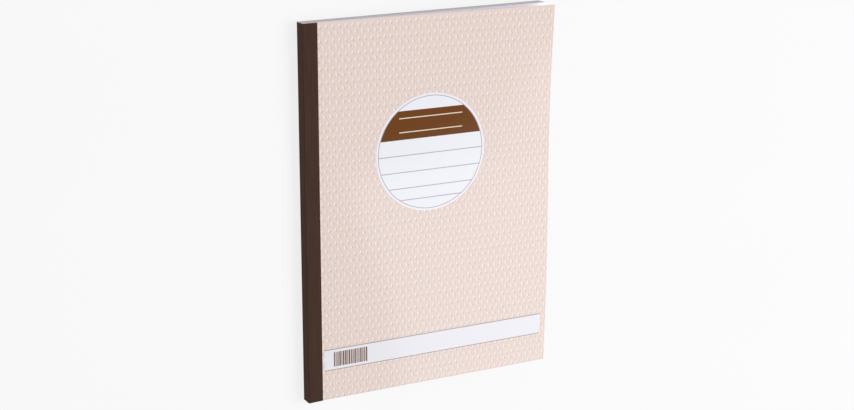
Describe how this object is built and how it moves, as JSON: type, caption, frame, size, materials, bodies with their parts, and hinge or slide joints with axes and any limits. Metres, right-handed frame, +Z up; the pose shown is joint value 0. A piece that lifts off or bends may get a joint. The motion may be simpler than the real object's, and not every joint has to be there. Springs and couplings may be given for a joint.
{
  "type": "carbonless account book",
  "caption": "Softcover A4 duplicate book: card cover and carbonless sheets turn on a crease beside a stapled, cloth-taped spine on a stiff back board; a loose shield card slides out.",
  "frame": {"origin": "centre of the footprint of the book lying on its back board, at the table", "axes": "+X from the spine to the fore edge, +Y from the foot to the head, +Z up through the front cover"},
  "size_m": [0.2106, 0.297, 0.0206],
  "materials": {
    "white_paper": "uncoated",
    "pink_paper": "uncoated",
    "mixed_paper": "uncoated",
    "staple_wire": "galvanised",
    "book_cloth": "matt weave",
    "padding_glue": "dried film",
    "cover_card": "printed and laminated",
    "grey_board": "raw",
    "shield_card": "raw"
  },
  "bodies": {
    "binding": {"spine_tape": "book_cloth", "spine_glue": "padding_glue", "staple_head": "staple_wire", "staple_middle": "staple_wire", "staple_foot": "staple_wire", "front_cover_margin": "cover_card", "back_board": "grey_board", "original_stub_1": "white_paper", "copy_stub_1": "pink_paper", "original_stub_2": "white_paper", "copy_stub_2": "pink_paper", "sheaf_stub_01": "mixed_paper", "sheaf_stub_02": "mixed_paper", "sheaf_stub_03": "mixed_paper", "sheaf_stub_04": "mixed_paper", "sheaf_stub_05": "mixed_paper", "sheaf_stub_06": "mixed_paper", "sheaf_stub_07": "mixed_paper", "sheaf_stub_08": "mixed_paper", "sheaf_stub_09": "mixed_paper", "sheaf_stub_10": "mixed_paper", "sheaf_stub_11": "mixed_paper", "sheaf_stub_12": "mixed_paper"},
    "front_cover": {"front_cover": "cover_card"},
    "original_1": {"original_sheet_1": "white_paper"},
    "copy_1": {"copy_sheet_1": "pink_paper"},
    "original_2": {"original_sheet_2": "white_paper"},
    "copy_2": {"copy_sheet_2": "pink_paper"},
    "sheaf_01": {"sheaf_01": "mixed_paper"},
    "sheaf_02": {"sheaf_02": "mixed_paper"},
    "sheaf_03": {"sheaf_03": "mixed_paper"},
    "sheaf_04": {"sheaf_04": "mixed_paper"},
    "sheaf_05": {"sheaf_05": "mixed_paper"},
    "sheaf_06": {"sheaf_06": "mixed_paper"},
    "sheaf_07": {"sheaf_07": "mixed_paper"},
    "sheaf_08": {"sheaf_08": "mixed_paper"},
    "sheaf_09": {"sheaf_09": "mixed_paper"},
    "sheaf_10": {"sheaf_10": "mixed_paper"},
    "sheaf_11": {"sheaf_11": "mixed_paper"},
    "sheaf_12": {"sheaf_12": "mixed_paper"},
    "writing_shield": {"writing_shield": "shield_card"}
  },
  "joints": [
    {"name": "cover_open", "type": "hinge", "parent": "binding", "child": "front_cover", "pos_m": [-0.09302, 0, 0.00976], "axis": [0, -1, 0], "range_deg": [0, 176.8]},
    {"name": "original_1_turn", "type": "hinge", "parent": "binding", "child": "original_1", "pos_m": [-0.09302, 0, 0.00976], "axis": [0, -1, 0], "range_deg": [0, 176.8]},
    {"name": "copy_1_turn", "type": "hinge", "parent": "binding", "child": "copy_1", "pos_m": [-0.09302, 0, 0.00976], "axis": [0, -1, 0], "range_deg": [0, 176.8]},
    {"name": "original_2_turn", "type": "hinge", "parent": "binding", "child": "original_2", "pos_m": [-0.09302, 0, 0.00976], "axis": [0, -1, 0], "range_deg": [0, 176.8]},
    {"name": "copy_2_turn", "type": "hinge", "parent": "binding", "child": "copy_2", "pos_m": [-0.09302, 0, 0.00976], "axis": [0, -1, 0], "range_deg": [0, 176.8]},
    {"name": "sheaf_01_turn", "type": "hinge", "parent": "binding", "child": "sheaf_01", "pos_m": [-0.09302, 0, 0.00976], "axis": [0, -1, 0], "range_deg": [0, 176.8]},
    {"name": "sheaf_02_turn", "type": "hinge", "parent": "binding", "child": "sheaf_02", "pos_m": [-0.09302, 0, 0.00976], "axis": [0, -1, 0], "range_deg": [0, 176.8]},
    {"name": "sheaf_03_turn", "type": "hinge", "parent": "binding", "child": "sheaf_03", "pos_m": [-0.09302, 0, 0.00976], "axis": [0, -1, 0], "range_deg": [0, 176.8]},
    {"name": "sheaf_04_turn", "type": "hinge", "parent": "binding", "child": "sheaf_04", "pos_m": [-0.09302, 0, 0.00976], "axis": [0, -1, 0], "range_deg": [0, 176.8]},
    {"name": "sheaf_05_turn", "type": "hinge", "parent": "binding", "child": "sheaf_05", "pos_m": [-0.09302, 0, 0.00976], "axis": [0, -1, 0], "range_deg": [0, 176.8]},
    {"name": "sheaf_06_turn", "type": "hinge", "parent": "binding", "child": "sheaf_06", "pos_m": [-0.09302, 0, 0.00976], "axis": [0, -1, 0], "range_deg": [0, 176.8]},
    {"name": "sheaf_07_turn", "type": "hinge", "parent": "binding", "child": "sheaf_07", "pos_m": [-0.09302, 0, 0.00976], "axis": [0, -1, 0], "range_deg": [0, 176.8]},
    {"name": "sheaf_08_turn", "type": "hinge", "parent": "binding", "child": "sheaf_08", "pos_m": [-0.09302, 0, 0.00976], "axis": [0, -1, 0], "range_deg": [0, 176.8]},
    {"name": "sheaf_09_turn", "type": "hinge", "parent": "binding", "child": "sheaf_09", "pos_m": [-0.09302, 0, 0.00976], "axis": [0, -1, 0], "range_deg": [0, 176.8]},
    {"name": "sheaf_10_turn", "type": "hinge", "parent": "binding", "child": "sheaf_10", "pos_m": [-0.09302, 0, 0.00976], "axis": [0, -1, 0], "range_deg": [0, 176.8]},
    {"name": "sheaf_11_turn", "type": "hinge", "parent": "binding", "child": "sheaf_11", "pos_m": [-0.09302, 0, 0.00976], "axis": [0, -1, 0], "range_deg": [0, 176.8]},
    {"name": "sheaf_12_turn", "type": "hinge", "parent": "binding", "child": "sheaf_12", "pos_m": [-0.09302, 0, 0.00976], "axis": [0, -1, 0], "range_deg": [0, 176.8]},
    {"name": "shield_slide", "type": "slide", "parent": "original_2", "child": "writing_shield", "axis": [1, 0, 0], "range_m": [0, 0.19]}
  ],
  "couplings": [
    {"joint": "original_1_turn", "follows": "cover_open", "ratio": 0.94118},
    {"joint": "copy_1_turn", "follows": "cover_open", "ratio": 0.88235},
    {"joint": "original_2_turn", "follows": "cover_open", "ratio": 0.82353},
    {"joint": "copy_2_turn", "follows": "cover_open", "ratio": 0.76471},
    {"joint": "sheaf_01_turn", "follows": "cover_open", "ratio": 0.70588},
    {"joint": "sheaf_02_turn", "follows": "cover_open", "ratio": 0.64706},
    {"joint": "sheaf_03_turn", "follows": "cover_open", "ratio": 0.58823},
    {"joint": "sheaf_04_turn", "follows": "cover_open", "ratio": 0.52941},
    {"joint": "sheaf_05_turn", "follows": "cover_open", "ratio": 0.47059},
    {"joint": "sheaf_06_turn", "follows": "cover_open", "ratio": 0.41176},
    {"joint": "sheaf_07_turn", "follows": "cover_open", "ratio": 0.35294},
    {"joint": "sheaf_08_turn", "follows": "cover_open", "ratio": 0.29412},
    {"joint": "sheaf_09_turn", "follows": "cover_open", "ratio": 0.23529},
    {"joint": "sheaf_10_turn", "follows": "cover_open", "ratio": 0.17647},
    {"joint": "sheaf_11_turn", "follows": "cover_open", "ratio": 0.11765},
    {"joint": "sheaf_12_turn", "follows": "cover_open", "ratio": 0.058824}
  ]
}
